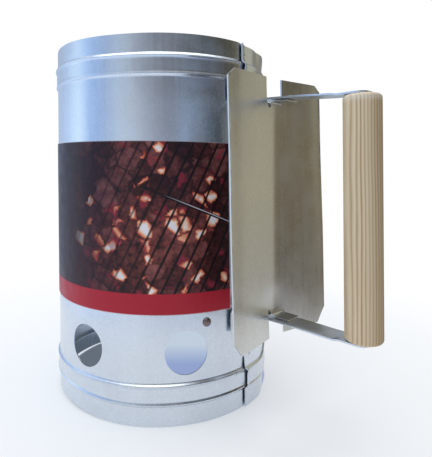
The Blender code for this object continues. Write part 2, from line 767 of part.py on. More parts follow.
chimney_axis = add_empty("chimney_axis", (-AXIS_OFFSET, 0.0, 0.0), None)
grip_axis = add_empty("grip_axis", (GRIP_DISTANCE, 0.0, GRIP_BOTTOM), chimney_axis)

body_shell = build_body(chimney_axis)
build_pegs(chimney_axis)
build_grate(chimney_axis)
strap_parts = build_straps(chimney_axis)
build_rivets(chimney_axis, body_shell, strap_parts)
build_grip(grip_axis, strap_parts)
build_shield(chimney_axis)
build_label(chimney_axis)
bpy.context.view_layer.update()
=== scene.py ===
"""Looks for the chimney charcoal starter: finer sheet metal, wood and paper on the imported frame.

Metres, +Z up, +X from the chimney to the grip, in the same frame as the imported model.
"""

from math import ceil, cos, degrees, exp, hypot, pi, radians, sin, tan, tau

import bmesh
import bpy
from mathutils import Matrix, Vector, noise


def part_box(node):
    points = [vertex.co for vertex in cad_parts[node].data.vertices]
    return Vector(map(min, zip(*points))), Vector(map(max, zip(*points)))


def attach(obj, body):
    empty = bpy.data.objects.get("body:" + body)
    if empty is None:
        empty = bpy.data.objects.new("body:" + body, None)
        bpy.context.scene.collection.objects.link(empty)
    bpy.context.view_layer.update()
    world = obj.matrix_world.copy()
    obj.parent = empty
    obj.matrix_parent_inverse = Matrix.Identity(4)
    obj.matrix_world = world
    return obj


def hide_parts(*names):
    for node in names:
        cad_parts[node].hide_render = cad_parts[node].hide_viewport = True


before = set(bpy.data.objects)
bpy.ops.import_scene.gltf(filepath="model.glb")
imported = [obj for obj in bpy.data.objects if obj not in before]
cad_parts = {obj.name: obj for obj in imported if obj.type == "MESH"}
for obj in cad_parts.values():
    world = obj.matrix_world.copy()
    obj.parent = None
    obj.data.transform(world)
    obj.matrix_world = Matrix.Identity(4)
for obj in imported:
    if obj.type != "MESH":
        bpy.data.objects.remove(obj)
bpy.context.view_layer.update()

# ---- sizes that repeat the part's own
BODY_RADIUS = 0.094
BODY_SHEET = 0.0008
LAP_AIR = 0.0005             # between the two layers of the lap
SEAM_ANGLE = 2.2             # degrees from +X, free edge of the outer layer
LAP_ANGLE = 8.3
LAP_EASE = 10.0
VENT_COUNT = 7
VENT_RADIUS = 0.016
VENT_FIRST = -28.8
VENT_PITCH = -49.2
VENT_HEIGHT = 0.0524
PEG_COUNT = 3
PEG_FIRST = -19.1
PEG_PITCH = 120.0
STRAP_SHEET = 0.0012
STRAP_WIDTH = 0.0170
FOOT_WIDTH = 0.0250
UPPER_FOOT = 0.0160          # height of each foot, from its tip to its arm
LOWER_FOOT = 0.0180
RIVETS = [f"{side}_strap_rivet_{index}" for side in ("upper", "lower") for index in (1, 2)]
RIVET_HOLE = 0.0021
SHIELD_DISTANCE = 0.1273
SHIELD_HALF_WIDTH = 0.0528
SHIELD_SHEET = 0.0012
GAP = 0.0003
LABEL_END = -6.8             # degrees from +X, the end beside the seam
LABEL_SPAN = 135.0

# ---- faults of this one object
LABEL_TILT = 0.013           # the paper was put on a little askew: climb per length, leftwards
LABEL_FLARE = 0.007          # and its upper edge climbs by this much more


# ---- places read from the frame
def middle(node):
    low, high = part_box(node)
    return (low + high) / 2


BODY_LOW, BODY_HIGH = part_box("body_shell")
BODY_HEIGHT = BODY_HIGH.z - BODY_LOW.z
AXIS_X = middle("charcoal_grate").x
GRATE_LOW, GRATE_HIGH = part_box("charcoal_grate")
GRIP_LOW, GRIP_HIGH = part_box("handle_grip")
GRIP_X = middle("handle_grip").x - AXIS_X
GRIP_RADIUS = (GRIP_HIGH.y - GRIP_LOW.y) / 2
UPPER_LOW, UPPER_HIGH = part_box("upper_strap")
LOWER_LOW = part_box("lower_strap")[0]
SHIELD_LOW, SHIELD_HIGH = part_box("heat_shield")
LABEL_LOW, LABEL_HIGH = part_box("paper_label")
PEG_HEIGHT = middle("grate_peg_1").z


# ---- geometry helpers
def smooth_step(low, high, value):
    share = min(1.0, max(0.0, (value - low) / (high - low)))
    return share * share * (3 - 2 * share)


def bell(value, centre, width):
    return exp(-((value - centre) / width) ** 2)


def spread(low, high, step):
    count = max(1, ceil((high - low) / step - 1e-9))
    return [low + (high - low) * index / count for index in range(count + 1)]


def runs(low, *stretches):
    """Places from low on, through stretches of (step, end)."""
    places = [low]
    for step, end in stretches:
        places += spread(places[-1], end, step)[1:]
    return places


def around(radius, angle, height):
    return AXIS_X + radius * cos(angle), radius * sin(angle), height


def grid_mesh(name, across, along, place):
    """A sheet of quads through place(u, v) for each u in across and v in along."""
    mesh = bpy.data.meshes.new(name)
    points = [place(u, v) for v in along for u in across]
    width = len(across)
    faces = []
    for row in range(len(along) - 1):
        for column in range(width - 1):
            first = row * width + column
            faces.append((first, first + 1, first + width + 1, first + width))
    mesh.from_pydata(points, [], faces)
    mesh.update()
    return mesh


def lathe_mesh(name, profile, steps, frame_matrix):
    """A closed turned body from (radius, height) points that start and end on the axis."""
    bm = bmesh.new()
    rings = []
    for radius, height in profile:
        if radius < 1e-7:
            rings.append([bm.verts.new((0.0, 0.0, height))])
            continue
        ring = []
        for index in range(steps):
            angle = tau * index / steps
            ring.append(bm.verts.new((radius * cos(angle), radius * sin(angle), height)))
        rings.append(ring)
    for upper, lower in zip(rings, rings[1:]):
        for index in range(steps):
            following = (index + 1) % steps
            corners = [upper[index % len(upper)], lower[index % len(lower)],
                       lower[following % len(lower)], upper[following % len(upper)]]
            unique = list(dict.fromkeys(corners))
            if len(unique) > 2:
                bm.faces.new(unique)
    bmesh.ops.recalc_face_normals(bm, faces=bm.faces)
    bmesh.ops.transform(bm, matrix=frame_matrix, verts=bm.verts)
    mesh = bpy.data.meshes.new(name)
    bm.to_mesh(mesh)
    bm.free()
    return mesh


def arc(centre, radius, start, end, count):
    points = []
    for index in range(count + 1):
        angle = radians(start + (end - start) * index / count)
        points.append((centre[0] + radius * cos(angle), centre[1] + radius * sin(angle)))
    return points


def link(name, data):
    thing = bpy.data.objects.new(name, data)
    bpy.context.scene.collection.objects.link(thing)
    return thing


def add_piece(name, mesh, material):
    piece = link(name, mesh)
    piece.data.materials.clear()
    piece.data.materials.append(material)
    return piece


def solidify(piece, thickness, offset):
    modifier = piece.modifiers.new("sheet", "SOLIDIFY")
    modifier.thickness = thickness
    modifier.offset = offset
    modifier.use_even_offset = True


def boolean(piece, other, operation):
    modifier = piece.modifiers.new("cut", "BOOLEAN")
    modifier.operation = operation
    modifier.object = other
    modifier.solver = "EXACT"


def bevel(piece, width, segments=2, angle=50.0):
    modifier = piece.modifiers.new("edge", "BEVEL")
    modifier.width = width
    modifier.segments = segments
    modifier.limit_method = "ANGLE"
    modifier.angle_limit = radians(angle)
    modifier.use_clamp_overlap = True


def freeze(piece, *helpers):
    """Keep the result of the modifiers as the piece's own mesh and drop the helpers."""
    bpy.context.view_layer.update()
    evaluated = piece.evaluated_get(bpy.context.evaluated_depsgraph_get())
    mesh = bpy.data.meshes.new_from_object(evaluated)
    piece.modifiers.clear()
    piece.data = mesh
    for helper in helpers:
        bpy.data.objects.remove(helper, do_unlink=True)


def shade(piece, angle=35.0):
    piece.data.shade_smooth()
    piece.data.set_sharp_from_angle(angle=radians(angle))


def helper_from(name, bm):
    mesh = bpy.data.meshes.new(name)
    bm.to_mesh(mesh)
    bm.free()
    return link(name, mesh)


def cut(piece, bm):
    """Takes a bmesh away from a piece, and gives the cutter, to be dropped on freezing."""
    cutter = helper_from("cutter", bm)
    boolean(piece, cutter, "DIFFERENCE")
    return cutter


def radial(angle, distance, height):
    """A frame whose Z points outwards from the chimney's axis; the angle is in degrees."""
    turned = Matrix.Rotation(radians(angle), 4, "Z")
    outward = turned @ Matrix.Translation((distance, 0.0, height))
    return Matrix.Translation((AXIS_X, 0, 0)) @ outward @ Matrix.Rotation(pi / 2, 4, "Y")


def along_x(centre):
    """A frame at a point, with its Z along +X."""
    return Matrix.Translation(centre) @ Matrix.Rotation(pi / 2, 4, "Y")


def drill(bm, radius, depth, steps, matrix):
    bmesh.ops.create_cone(bm, cap_ends=True, segments=steps, radius1=radius, radius2=radius,
                          depth=depth, matrix=matrix)


# ---- material helpers
class Nodes:
    """A short way to write a node tree."""

    def __init__(self, tree):
        self.tree = tree
        self.tree.nodes.clear()

    def add(self, kind, inputs=None, **settings):
        node = self.tree.nodes.new(kind)
        for key, value in settings.items():
            setattr(node, key, value)
        for key, value in (inputs or {}).items():
            self.feed(node.inputs[key], value)
        return node

    def feed(self, socket, value):
        if isinstance(value, bpy.types.NodeSocket):
            self.tree.links.new(value, socket)
        else:
            socket.default_value = value

    def math(self, operation, first, second=0.0, third=0.0):
        node = self.add("ShaderNodeMath", operation=operation)
        for socket, value in zip(node.inputs, (first, second, third)):
            self.feed(socket, value)
        return node.outputs[0]

    def plus(self, first, second):
        return self.math("ADD", first, second)

    def minus(self, first, second):
        return self.math("SUBTRACT", first, second)

    def times(self, first, second):
        return self.math("MULTIPLY", first, second)

    def times_add(self, first, second, third):
        return self.math("MULTIPLY_ADD", first, second, third)

    def vary(self, noise_value, amount, around):
        """A value that a noise from 0 to 1 moves both ways."""
        return self.times_add(self.minus(noise_value, 0.5), amount, around)

    def hypot(self, first, second):
        return self.math("SQRT", self.plus(self.math("POWER", first, 2.0), self.math("POWER", second, 2.0)))

    def cells(self, vector, scale, feature="F1"):
        inputs = {"Vector": vector, "Scale": scale, "Randomness": 1.0}
        return self.add("ShaderNodeTexVoronoi", inputs, feature=feature).outputs

    def split(self, vector):
        return self.add("ShaderNodeSeparateXYZ", {"Vector": vector}).outputs

    def channel(self, value, index):
        return self.add("ShaderNodeSeparateColor", {"Color": value}).outputs[index]

    def scaled(self, base, tone):
        node = self.add("ShaderNodeVectorMath", {0: base, "Scale": tone}, operation="SCALE")
        return node.outputs[0]

    def mix(self, factor, first, second, blend="MIX"):
        node = self.add("ShaderNodeMix", data_type="RGBA", blend_type=blend)
        self.feed(node.inputs[0], factor)
        self.feed(node.inputs[6], first)
        self.feed(node.inputs[7], second)
        return node.outputs[2]

    def ramp(self, value, stops, interpolation="LINEAR"):
        node = self.add("ShaderNodeValToRGB", {"Fac": value})
        node.color_ramp.interpolation = interpolation
        elements = node.color_ramp.elements
        while len(elements) > 1:
            elements.remove(elements[-1])
        elements[0].position = stops[0][0]
        elements[0].color = colour(stops[0][1])
        for position, value in stops[1:]:
            elements.new(position).color = colour(value)
        return node.outputs["Color"]

    def span(self, value, low, high, new_low=0.0, new_high=1.0):
        node = self.add("ShaderNodeMapRange", {
            "Value": value, "From Min": low, "From Max": high, "To Min": new_low, "To Max": new_high})
        return node.outputs["Result"]

    def noise(self, vector, scale, detail=2.0, roughness=0.5, distortion=0.0):
        node = self.add("ShaderNodeTexNoise", {
            "Vector": vector, "Scale": scale, "Detail": detail, "Roughness": roughness,
            "Distortion": distortion})
        return node.outputs["Fac"]

    def point(self, x, y, z):
        return self.add("ShaderNodeCombineXYZ", {"X": x, "Y": y, "Z": z}).outputs[0]

    def bump(self, height, distance, strength=1.0, normal=None):
        inputs = {"Height": height, "Distance": distance, "Strength": strength}
        if normal is not None:
            inputs["Normal"] = normal
        return self.add("ShaderNodeBump", inputs).outputs[0]


def colour(value):
    if isinstance(value, (int, float)):
        return (value, value, value, 1.0)
    return (*value, 1.0)


def screen(red, green, blue):
    """A colour from display values, 0 to 255, as linear light."""
    linear = []
    for value in (red, green, blue):
        share = value / 255
        linear.append(share / 12.92 if share <= 0.04045 else ((share + 0.055) / 1.055) ** 2.4)
    return tuple(linear)


def paint(red, green, blue):
    return colour(screen(red, green, blue))


def start_material(name, **settings):
    material = bpy.data.materials.new(name)
    material.use_nodes = True
    nodes = Nodes(material.node_tree)
    shader = nodes.add("ShaderNodeBsdfPrincipled")
    output = nodes.add("ShaderNodeOutputMaterial")
    nodes.feed(output.inputs["Surface"], shader.outputs[0])
    for key, value in settings.items():
        shader.inputs[key.replace("_", " ")].default_value = value
    return material, nodes, shader


def feed_shader(nodes, shader, base, rough, normal):
    for socket, value in (("Base Color", base), ("Roughness", rough), ("Normal", normal)):
        nodes.feed(shader.inputs[socket], value)


def object_point(nodes):
    """Position in the frame, moved so that the chimney's axis is at x = 0."""
    raw = nodes.add("ShaderNodeTexCoord").outputs["Object"]
    x, y, z = nodes.split(raw)
    return nodes.minus(x, AXIS_X), y, z


def wrapped_point(nodes):
    """Distance round the chimney from +X, and height."""
    x, y, z = object_point(nodes)
    angle = nodes.math("ARCTAN2", y, x)
    return nodes.times(angle, BODY_RADIUS), z


# ---- materials
def zinc_sheet(name, base, roughness, wrapped, streaks=0.10, mottle=0.10):
    """Galvanised sheet: soft rolling streaks, a faint crystal mottle, scuffs and shallow waves."""
    material, nodes, shader = start_material(name, Metallic=1.0)
    x, y, z = object_point(nodes)
    across, height = wrapped_point(nodes) if wrapped else (y, z)
    place = nodes.point(x, y, z)

    def drawn_out(share, offset, *settings):
        return nodes.noise(nodes.point(across, nodes.times(height, share), offset), *settings)

    long_streak = drawn_out(0.04, 0.0, 260.0, 5.0, 0.65)
    wide_streak = drawn_out(0.12, 0.3, 45.0, 3.0, 0.5)
    cloud = nodes.noise(place, 38.0, 5.0, 0.6)
    crystal_tone = nodes.channel(nodes.cells(place, 420.0)["Color"], 0)
    fine = nodes.noise(place, 900.0, 2.0, 0.6)

    tone = nodes.plus(nodes.times(nodes.minus(long_streak, 0.5), streaks), 1.0)
    tone = nodes.vary(wide_streak, streaks, tone)
    tone = nodes.vary(cloud, mottle * 2, tone)
    tone = nodes.vary(crystal_tone, mottle * 0.35, tone)
    tone = nodes.vary(fine, mottle * 0.6, tone)

    scuff = nodes.span(drawn_out(0.5, 0.7, 520.0, 8.0, 0.75), 0.62, 0.74)
    rough = nodes.span(cloud, 0.3, 0.7, roughness - 0.05, roughness + 0.06)
    rough = nodes.vary(long_streak, 0.16, rough)
    rough = nodes.times_add(scuff, 0.10, rough)

    wave = nodes.noise(place, 26.0, 2.0, 0.5)
    normal = nodes.bump(wave, 0.0009, 0.35)
    normal = nodes.bump(fine, 0.00002, 0.4, normal)
    normal = nodes.bump(long_streak, 0.00004, 0.5, normal)
    feed_shader(nodes, shader, nodes.scaled(base, tone), rough, normal)
    return material


def plain_metal(name, base, roughness, blotch=0.25):
    """Small steel pieces, or the grate: blotchy tone and a dull grain."""
    material, nodes, shader = start_material(name, Metallic=1.0)
    x, y, z = object_point(nodes)
    place = nodes.point(x, y, z)
    cloud = nodes.noise(place, 160.0, 5.0, 0.6)
    fine = nodes.noise(place, 1600.0, 2.0, 0.6)
    tone = nodes.vary(cloud, 2 * blotch, 1.0)
    tone = nodes.vary(fine, blotch, tone)
    rough = nodes.span(cloud, 0.3, 0.7, roughness - 0.08, roughness + 0.1)
    feed_shader(nodes, shader, nodes.scaled(base, tone), rough, nodes.bump(fine, 0.00005, 0.6))
    return material


RING_WIDTH = 0.00195
RING_TURN = radians(-38.3)      # across the view, so the rings show as stripes of even width


def pine_wood(name):
    """Straight-grained softwood, its growth rings crossing the dowel as upright stripes."""
    material, nodes, shader = start_material(name, Roughness=0.55, IOR=1.45)
    shader.inputs["Specular IOR Level"].default_value = 0.35
    x, y, z = object_point(nodes)
    local_x = nodes.minus(x, GRIP_X)

    def grain(share, *settings):
        return nodes.noise(nodes.point(local_x, y, nodes.times(z, share)), *settings)

    slow = grain(0.12, 95.0, 2.0, 0.5)
    across = nodes.times(local_x, -sin(RING_TURN))
    across = nodes.times_add(y, cos(RING_TURN), across)
    across = nodes.vary(slow, 0.0022, across)
    ring = nodes.math("FRACT", nodes.times(across, 1 / RING_WIDTH))
    rise_and_fall = [(0.0, 1.0), (0.16, 0.55), (0.42, 0.0), (0.72, 0.08), (0.90, 0.75), (1.0, 1.0)]
    late = nodes.ramp(ring, rise_and_fall, "B_SPLINE")
    fibre = grain(0.03, 2400.0, 3.0, 0.6)
    pore = grain(0.02, 1500.0, 4.0, 0.7)
    cloud = grain(0.25, 110.0, 3.0, 0.5)
    early_wood = nodes.mix(cloud, paint(232, 210, 176), paint(220, 194, 154))
    late_wood = nodes.mix(fibre, paint(168, 126, 84), paint(142, 100, 60))
    strength = nodes.span(nodes.noise(nodes.point(local_x, y, 0.3), 210.0, 1.0, 0.5), 0.3, 0.7, 0.45, 0.95)
    base = nodes.mix(nodes.times(late, strength), early_wood, late_wood)
    dark_pores = nodes.span(pore, 0.60, 0.78, 0.0, 0.35)
    base = nodes.mix(dark_pores, base, paint(140, 104, 72))
    # painted shade: the flank turned from the light is darkened and warmed in the colour itself; the top end
    # of the dowel is paler
    flank = nodes.span(across, -0.2 * GRIP_RADIUS, GRIP_RADIUS, 0.0, 0.62)
    base = nodes.mix(flank, base, paint(168, 152, 112), "MULTIPLY")
    pale_top_end = nodes.span(z, GRIP_HIGH.z - 0.0052, GRIP_HIGH.z - 0.0030, 0.0, 0.42)
    base = nodes.mix(pale_top_end, base, paint(234, 224, 206))
    normal = nodes.bump(fibre, 0.00006, 0.6, nodes.bump(late, 0.00012, 0.5))
    feed_shader(nodes, shader, base, nodes.span(fibre, 0.3, 0.7, 0.48, 0.66), normal)
    return material


# places on the label, in metres leftwards from its seam end and up from its foot
EMBERS_LEFT = 0.056
EMBERS_UP = 0.052
LUMP_SCALE = 72.0
GLOW_SCALE = 104.0
BAR_PITCH = 0.0098
CROSS_BAR_UP = 0.0612
GLINT_UP = 0.0615
STRIPE_HEIGHT = 0.0151


def printed_label(name):
    """A picture of embers behind dark grill bars over a plum ground, with a crimson stripe below."""
    material, nodes, shader = start_material(name, IOR=1.45, Coat_Weight=0.06, Coat_Roughness=0.30)
    shader.inputs["Specular IOR Level"].default_value = 0.30
    across, height = wrapped_point(nodes)
    bottom = LABEL_LOW.z
    end = radians(LABEL_END) * BODY_RADIUS
    left = nodes.minus(end, across)             # from the label's seam end, leftwards
    tall = LABEL_HIGH.z - bottom
    climb = nodes.times(left, LABEL_TILT)
    stretch = nodes.times_add(left, LABEL_FLARE / tall, 1.0)
    up = nodes.math("DIVIDE", nodes.minus(nodes.minus(height, bottom), climb), stretch)
    flat = nodes.point(across, up, 0.0)

    # lumps of charcoal, each with its own tone, darker where they meet and rough on their faces
    warp = nodes.noise(flat, 70.0, 4.0, 0.65)
    warped = nodes.point(nodes.times_add(warp, 0.014, across),
                         nodes.times_add(warp, -0.010, up), 0.0)
    lump_tone = nodes.channel(nodes.cells(warped, LUMP_SCALE)["Color"], 1)
    gaps = nodes.cells(warped, LUMP_SCALE, "DISTANCE_TO_EDGE")["Distance"]
    facets = nodes.noise(flat, 190.0, 5.0, 0.65)
    grain = nodes.noise(flat, 620.0, 4.0, 0.7)
    tone = nodes.times_add(lump_tone, 0.34, nodes.times(facets, 0.62))
    tone = nodes.times_add(grain, 0.18, tone)
    coal = nodes.ramp(tone, [(0.34, screen(30, 10, 15)), (0.50, screen(58, 24, 28)),
                             (0.62, screen(92, 46, 46)), (0.76, screen(122, 72, 70)),
                             (0.90, screen(152, 104, 100))])
    seam = nodes.span(gaps, 0.0, 0.10, 0.85, 0.0)
    coal = nodes.mix(seam, coal, paint(34, 12, 18))

    # embers: some of the gaps between lumps glow, white in the middle and red at their rims
    chance = nodes.channel(nodes.cells(warped, GLOW_SCALE)["Color"], 0)
    glow_edges = nodes.cells(warped, GLOW_SCALE, "DISTANCE_TO_EDGE")["Distance"]
    off_middle = nodes.times(nodes.minus(up, EMBERS_UP), 1.25)
    away = nodes.hypot(nodes.minus(left, EMBERS_LEFT), off_middle)
    need = nodes.span(away, 0.010, 0.070, 0.58, 0.91)
    lit = nodes.span(nodes.minus(chance, need), 0.0, 0.03)
    glow = nodes.times(nodes.span(glow_edges, 0.02, 0.34), lit)
    ember = nodes.ramp(glow, [(0.0, screen(120, 36, 34)), (0.22, screen(196, 84, 62)),
                              (0.45, screen(240, 160, 120)), (0.75, screen(246, 222, 204)),
                              (1.0, screen(240, 232, 234))])
    warmth = nodes.times(nodes.span(away, 0.0, 0.055, 0.55, 0.0), nodes.span(facets, 0.35, 0.6))
    coal = nodes.mix(warmth, coal, paint(168, 84, 70))
    picture = nodes.mix(nodes.span(glow, 0.04, 0.22), coal, ember)
    reds = nodes.span(nodes.noise(flat, 85.0, 2.0, 0.5), 0.60, 0.68)
    picture = nodes.mix(nodes.times(reds, 0.55), picture, paint(164, 44, 66))

    # grill bars leaning to the right, and one lit bar across them
    lean = nodes.times_add(up, -0.50, across)
    bars = nodes.math("FRACT", nodes.times(lean, 1 / BAR_PITCH))
    bar = nodes.span(nodes.math("ABSOLUTE", nodes.minus(bars, 0.5)), 0.080, 0.120, 1.0, 0.0)
    fade = nodes.span(left, 0.050, 0.120, 0.96, 0.30)
    picture = nodes.mix(nodes.times(bar, fade), picture, paint(20, 8, 14))
    cross = nodes.times_add(across, 0.40, up)
    cross_off = nodes.math("ABSOLUTE", nodes.minus(cross, CROSS_BAR_UP))
    cross_bar = nodes.span(cross_off, 0.0011, 0.0015, 1.0, 0.0)
    cross_bar = nodes.times(cross_bar, nodes.span(left, 0.045, 0.090, 1.0, 0.0))
    picture = nodes.mix(cross_bar, picture, paint(18, 10, 16))
    glint_off = nodes.math("ABSOLUTE", nodes.minus(cross, GLINT_UP))
    glint = nodes.span(glint_off, 0.0002, 0.0005, 1.0, 0.0)
    glint = nodes.times(glint, nodes.span(left, 0.030, 0.052, 0.9, 0.0))
    picture = nodes.mix(glint, picture, paint(222, 210, 218))

    # the picture fades into plum on the left
    plum = nodes.mix(nodes.span(up, 0.02, 0.12), paint(46, 10, 20), paint(34, 14, 28))
    ground = nodes.span(left, 0.078, 0.132)
    picture = nodes.mix(ground, picture, plum)

    wobble = nodes.noise(flat, 90.0, 2.0, 0.5)
    stripe_top = nodes.times_add(wobble, 0.0004, STRIPE_HEIGHT)
    stripe = nodes.span(nodes.minus(up, stripe_top), -0.0002, 0.0002, 1.0, 0.0)
    crimson = nodes.mix(nodes.noise(flat, 700.0, 3.0, 0.6), paint(168, 26, 42),
                        paint(184, 38, 54))
    picture = nodes.mix(stripe, picture, crimson)
    # the cut edges of the paper show white
    lowest = nodes.span(up, 0.0003, 0.0006, 1.0, 0.0)
    highest = nodes.span(up, tall - 0.0005, tall - 0.0002)
    near_end = nodes.span(left, 0.0004, 0.0007, 1.0, 0.0)
    edge = nodes.math("MAXIMUM", nodes.math("MAXIMUM", lowest, highest), near_end)
    picture = nodes.mix(nodes.times(edge, 0.45), picture, paint(226, 216, 220))
    rough = nodes.span(nodes.noise(flat, 120.0, 4.0, 0.6), 0.3, 0.7, 0.34, 0.46)
    ripple = nodes.noise(nodes.point(across, nodes.times(up, 0.5), 0.2), 40.0, 3.0, 0.5)
    normal = nodes.bump(grain, 0.00002, 0.4, nodes.bump(ripple, 0.0006, 0.35))
    feed_shader(nodes, shader, picture, rough, normal)
    return material


ZINC_BODY = zinc_sheet("zinc_body", (0.645, 0.69, 0.755), 0.26, True)
ZINC_SHIELD = zinc_sheet("zinc_shield", (0.61, 0.61, 0.595), 0.29, False, 0.12, 0.12)
ZINC_STRAP = zinc_sheet("zinc_strap", (0.66, 0.69, 0.73), 0.32, False, 0.08, 0.12)
GRATE_STEEL = plain_metal("grate_steel", (0.26, 0.245, 0.235), 0.50)
PEG_STEEL = plain_metal("peg_steel", (0.22, 0.17, 0.17), 0.38)
RIVET_STEEL = plain_metal("rivet_steel", (0.58, 0.59, 0.62), 0.34, 0.15)
SCREW_ZINC = plain_metal("screw_zinc", (0.68, 0.64, 0.50), 0.28, 0.12)
WOOD = pine_wood("pine_wood")
LABEL = printed_label("printed_label")


# ---- chimney
RIDGE_NEAR = 0.0159
RIDGE_FAR = 0.0291
BAND_NEAR = 0.0125           # where the mesh is fine, from here
BAND_FAR = 0.0330            # to here, measured from each rim
PLAIN_STEP, BAND_STEP, RIM_STEP = 0.0030, 0.00042, 0.0022


def wall_rise(height):
    """The swaged band near each rim: two rounded ridges with a raised dip between."""
    depth = min(height, BODY_HEIGHT - height)
    plateau = smooth_step(0.0135, 0.0158, depth) * (1 - smooth_step(0.0292, 0.0314, depth))
    far_ridge = 0.45 if height > BODY_HEIGHT / 2 else 1.0
    ridges = bell(depth, RIDGE_NEAR, 0.0011) + far_ridge * bell(depth, RIDGE_FAR, 0.0011)
    return 0.0009 * plateau + 0.00085 * ridges


def seam_lift(height):
    """How far the outer layer's free edge stands off the layer below."""
    depth = min(height, BODY_HEIGHT - height)
    upper = height > BODY_HEIGHT / 2
    tail = 0.0315 if upper else 0.0420
    inside = smooth_step(0.0120, 0.0155, depth) * (1 - smooth_step(0.0290, tail, depth))
    rim = 0.0006 * (1 - smooth_step(0.0120, 0.0150, depth))
    knuckle = bell(depth, RIDGE_NEAR + 0.002 if upper else RIDGE_FAR - 0.001, 0.0022)
    return LAP_AIR + rim + 0.0009 * inside + 0.0008 * knuckle * inside


def seam_jog(height):
    """Degrees by which the free edge draws back where the bands were rolled in."""
    depth = min(height, BODY_HEIGHT - height)
    inside = smooth_step(0.0145, 0.0175, depth) * (1 - smooth_step(0.0270, 0.0310, depth))
    ragged = noise.noise(Vector((height * 260, 0.3, 0.0))) * 0.16
    return 1.35 * inside + ragged


def pull_in(angle, height):
    """How far the wall beside the seam lies inside the true round, with the angle in degrees."""
    share = height / BODY_HEIGHT
    flank = smooth_step(16.0, 34.0, angle) * (1 - smooth_step(56.0, 84.0, angle))
    rim = smooth_step(1.5, 7.0, angle) * (1 - smooth_step(18.0, 32.0, angle))
    top = smooth_step(0.90, 0.975, share)
    flank *= 1 - 0.40 * smooth_step(0.955, 1.0, share)
    return (0.0032 - 0.0010 * smooth_step(0.2, 1.0, share)) * flank + 0.0026 * top * rim


def rim_shift(angle, height):
    """The rims aren't quite flat: how much higher the sheet lies there than it should."""
    away = abs(((angle + 115.0 + 180.0) % 360.0) - 180.0)      # from the side where they rise most
    rise = 1 - smooth_step(8.0, 66.0, away)
    beside_seam = smooth_step(-1.0, 8.0, angle) * (1 - smooth_step(18.0, 36.0, angle))
    top = smooth_step(0.70, 1.0, height / BODY_HEIGHT)
    foot = 1 - smooth_step(0.0, 0.16, height / BODY_HEIGHT)
    return top * (0.0031 * rise - 0.0005 - 0.0007 * beside_seam) + foot * 0.0024 * rise


def wall_point(turned, height):
    """Outside of the sheet, at degrees past the free edge."""
    flat = LAP_ANGLE + 2.0
    ease = 1.0 if turned < flat else 1.0 - smooth_step(flat, flat + LAP_EASE, turned)
    lap = (BODY_SHEET + LAP_AIR) * ease
    edge = exp(-turned / 2.6)
    lap += (seam_lift(height) - LAP_AIR) * edge
    angle = radians(SEAM_ANGLE + turned + seam_jog(height) * exp(-turned / 1.6))
    dent = noise.noise(Vector((cos(angle) * 2.1, sin(angle) * 2.1, height * 14.0)))
    fine_dent = noise.noise(Vector((cos(angle) * 7.0, sin(angle) * 7.0, height * 30.0 + 5)))
    settle = smooth_step(12.0, 26.0, turned) * (1.0 - smooth_step(338.0, 352.0, turned))
    radius = BODY_RADIUS + wall_rise(height) + lap + settle * (0.00022 * dent + 0.00006 * fine_dent)
    about = (degrees(angle) + 180.0) % 360.0 - 180.0
    radius -= pull_in(about, height)
    height += rim_shift(about, height)
    return around(radius, angle, height)


def build_body():
    sweep = 360.0 + LAP_ANGLE
    columns = runs(0.0, (0.5, 4.0), (1.25, 24.0), (1.8, sweep))
    rows = runs(0.0, (RIM_STEP, BAND_NEAR), (BAND_STEP, BAND_FAR), (PLAIN_STEP, BODY_HEIGHT - BAND_FAR),
                (BAND_STEP, BODY_HEIGHT - BAND_NEAR), (RIM_STEP, BODY_HEIGHT))
    body = add_piece("chimney_wall", grid_mesh("chimney_wall", columns, rows, wall_point), ZINC_BODY)
    solidify(body, BODY_SHEET, -1.0)

    bm = bmesh.new()
    for index in range(VENT_COUNT):
        place = radial(VENT_FIRST + VENT_PITCH * index, BODY_RADIUS, VENT_HEIGHT)
        drill(bm, VENT_RADIUS, 0.04, 64, place)
    for index in range(PEG_COUNT):
        drill(bm, 0.0020, 0.02, 16, radial(PEG_FIRST + PEG_PITCH * index, BODY_RADIUS, PEG_HEIGHT))
    for name in RIVETS:
        drill(bm, RIVET_HOLE, 0.02, 16, along_x(middle(name)))
    freeze(body, cut(body, bm))
    shade(body, 40.0)
    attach(body, "starter")
    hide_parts("body_shell")


def build_grate():
    """Perforated plate with a turned-up rim."""
    radius = (GRATE_HIGH.x - GRATE_LOW.x) / 2
    rim = GRATE_HIGH.z - GRATE_LOW.z
    bend, sheet, ease = 0.0020, 0.0012, 0.0003
    hole_radius, hole_pitch = 0.008, 0.024
    outer = [(0.0, 0.0), (radius - bend, 0.0)] + arc((radius - bend, bend), bend, -75, 0, 5)
    outer += [(radius, rim - ease), (radius - ease, rim)]
    inner = [(radius - sheet + ease, rim), (radius - sheet, rim - ease)]
    inner += arc((radius - bend, bend), bend - sheet, 0, -75, 3) + [(radius - bend, sheet), (0.0, sheet)]
    place = Matrix.Translation((AXIS_X, 0.0, GRATE_LOW.z))
    grate = add_piece("fire_grate", lathe_mesh("fire_grate", outer + inner, 96, place), GRATE_STEEL)
    bm = bmesh.new()
    centres = [(0.0, 0.0)]
    for ring in (1, 2, 3):
        for index in range(6 * ring):
            angle = tau * index / (6 * ring)
            reach = hole_pitch * ring
            centres.append((reach * cos(angle), reach * sin(angle)))
    for x, y in centres:
        drill(bm, hole_radius, 0.02, 28, Matrix.Translation((AXIS_X + x, y, GRATE_LOW.z)))
    cutter = cut(grate, bm)
    bevel(grate, 0.0002, 1)
    freeze(grate, cutter)
    shade(grate, 40.0)
    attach(grate, "grate")
    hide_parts("charcoal_grate")


